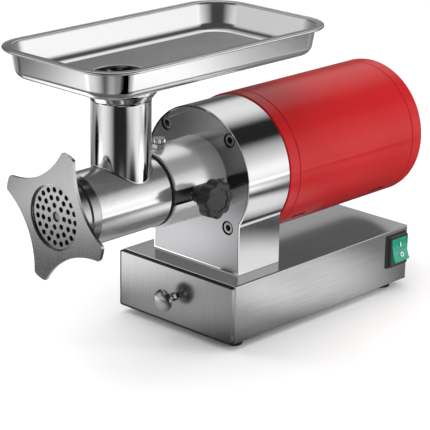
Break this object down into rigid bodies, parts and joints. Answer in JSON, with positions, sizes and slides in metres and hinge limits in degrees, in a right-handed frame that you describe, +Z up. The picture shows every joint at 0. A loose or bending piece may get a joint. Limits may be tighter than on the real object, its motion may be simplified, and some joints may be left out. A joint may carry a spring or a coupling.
{
  "type": "electric meat grinder",
  "caption": "Countertop electric meat grinder: horizontal motor and gearbox on a flat base with a drawer, steel grinding head with ring nut, feed tray on an upright throat.",
  "frame": {"origin": "centre of the footprint of the whole object's bounding box, on the surface it stands on", "axes": "+Z up, +Y from the grinding head towards the motor's rear, +X towards the side with the switch and the clamp knob"},
  "size_m": [0.1812, 0.4874, 0.3205],
  "materials": {
    "polished_steel": "mirror-polished stainless steel",
    "polished_housing": "mirror-polished casting",
    "satin_cover": "satin face, polished neck",
    "satin_steel": "satin",
    "brushed_steel": "brushed",
    "tinned_iron": "tinned casting",
    "machined_steel": "machined",
    "gear_steel": "oiled cut steel",
    "red_paint": "glossy enamel",
    "black_plastic": "moulded, semi-matt",
    "green_plastic": "glossy, white I and O marks",
    "black_rubber": "matt",
    "copper_winding": "varnished copper wire",
    "laminated_steel": "stacked laminations",
    "cast_aluminium": "as cast"
  },
  "bodies": {
    "root": {"base_shell": "brushed_steel", "base_floor": "satin_steel", "foot_front_left": "black_rubber", "foot_front_right": "black_rubber", "foot_rear_left": "black_rubber", "foot_rear_right": "black_rubber", "drawer_guide_left": "satin_steel", "drawer_guide_right": "satin_steel", "run_capacitor": "black_plastic", "capacitor_clip": "satin_steel", "terminal_block": "black_plastic", "cord_gland": "black_plastic", "switch_housing": "black_plastic", "gearbox_housing": "polished_housing", "gearbox_cover": "satin_cover", "cover_screw_1": "machined_steel", "cover_screw_2": "machined_steel", "cover_screw_3": "machined_steel", "cover_screw_4": "machined_steel", "shaft_seal": "black_rubber", "output_front_bearing": "machined_steel", "output_rear_bearing": "machined_steel", "layshaft_front_bearing": "machined_steel", "layshaft_rear_bearing": "machined_steel", "bearing_plate": "cast_aluminium", "motor_front_ring": "red_paint", "motor_shell": "red_paint", "motor_rear_cap": "red_paint", "stator_core": "laminated_steel", "winding_front": "copper_winding", "winding_rear": "copper_winding", "motor_front_bearing": "machined_steel", "motor_rear_bearing": "machined_steel"},
    "rotor": {"rotor_core": "laminated_steel", "rotor_shaft": "machined_steel", "cooling_fan": "black_plastic"},
    "countershaft": {"layshaft": "gear_steel", "reduction_gear": "gear_steel"},
    "output": {"output_shaft": "machined_steel", "output_gear": "gear_steel"},
    "head": {"head_barrel": "polished_steel", "head_gasket": "black_rubber"},
    "screw": {"auger": "tinned_iron", "knife": "machined_steel"},
    "plate": {"grinder_plate": "machined_steel"},
    "ring": {"ring_nut": "satin_steel"},
    "tray": {"feed_tray": "polished_steel", "tray_collar": "polished_steel"},
    "clamp_screw": {"clamp_stud": "machined_steel"},
    "clamp_handle": {"clamp_knob": "black_plastic"},
    "plug": {"oil_plug": "polished_steel"},
    "plug_cap": {"oil_plug_cap": "polished_steel"},
    "drawer": {"drawer_front": "brushed_steel", "drawer_box": "satin_steel", "drawer_knob": "polished_steel", "drawer_knob_bolt": "machined_steel"},
    "rocker": {"switch_rocker": "green_plastic"}
  },
  "joints": [
    {"name": "rotor_spin", "type": "hinge", "parent": "root", "child": "rotor", "pos_m": [-0.00263, 0.12135, 0.1645], "axis": [0, 1, 0], "continuous": true},
    {"name": "countershaft_spin", "type": "hinge", "parent": "root", "child": "countershaft", "pos_m": [-0.00263, -0.00865, 0.1285], "axis": [0, 1, 0], "continuous": true},
    {"name": "output_spin", "type": "hinge", "parent": "root", "child": "output", "pos_m": [-0.00263, -0.03865, 0.1645], "axis": [0, 1, 0], "continuous": true},
    {"name": "head_slide", "type": "slide", "parent": "root", "child": "head", "axis": [0, -1, 0], "range_m": [0, 0.06]},
    {"name": "auger_spin", "type": "hinge", "parent": "head", "child": "screw", "pos_m": [-0.00263, -0.14865, 0.1645], "axis": [0, 1, 0], "continuous": true},
    {"name": "tray_lift", "type": "slide", "parent": "head", "child": "tray", "axis": [0, 0, 1], "range_m": [0, 0.05]},
    {"name": "plate_slide", "type": "slide", "parent": "head", "child": "plate", "axis": [0, -1, 0], "range_m": [0, 0.0081]},
    {"name": "ring_turn", "type": "hinge", "parent": "plate", "child": "ring", "pos_m": [-0.00263, -0.21865, 0.1645], "axis": [0, -1, 0], "range_deg": [0, 1440]},
    {"name": "clamp_slide", "type": "slide", "parent": "root", "child": "clamp_screw", "axis": [1, 0, 0], "range_m": [0, 0.0051]},
    {"name": "clamp_turn", "type": "hinge", "parent": "clamp_screw", "child": "clamp_handle", "pos_m": [0.05737, -0.08065, 0.1645], "axis": [1, 0, 0], "range_deg": [0, 1440]},
    {"name": "oil_plug_rise", "type": "slide", "parent": "root", "child": "plug", "axis": [0, 0, 1], "range_m": [0, 0.0041]},
    {"name": "oil_cap_turn", "type": "hinge", "parent": "plug", "child": "plug_cap", "pos_m": [-0.00263, -0.09265, 0.21], "axis": [0, 0, 1], "range_deg": [0, 1440]},
    {"name": "drawer_slide", "type": "slide", "parent": "root", "child": "drawer", "axis": [0, -1, 0], "range_m": [0, 0.15]},
    {"name": "rocker_tilt", "type": "hinge", "parent": "root", "child": "rocker", "pos_m": [0.07687, 0.19485, 0.047], "axis": [0, 1, 0], "range_deg": [0, 24]}
  ],
  "couplings": [
    {"joint": "countershaft_spin", "follows": "rotor_spin", "ratio": -0.33333},
    {"joint": "output_spin", "follows": "rotor_spin", "ratio": 0.13725},
    {"joint": "auger_spin", "follows": "rotor_spin", "ratio": 0.13725},
    {"joint": "plate_slide", "follows": "ring_turn", "m_per_rad": 0.00031831},
    {"joint": "clamp_slide", "follows": "clamp_turn", "m_per_rad": 0.00019894},
    {"joint": "oil_plug_rise", "follows": "oil_cap_turn", "m_per_rad": 0.00015915}
  ]
}
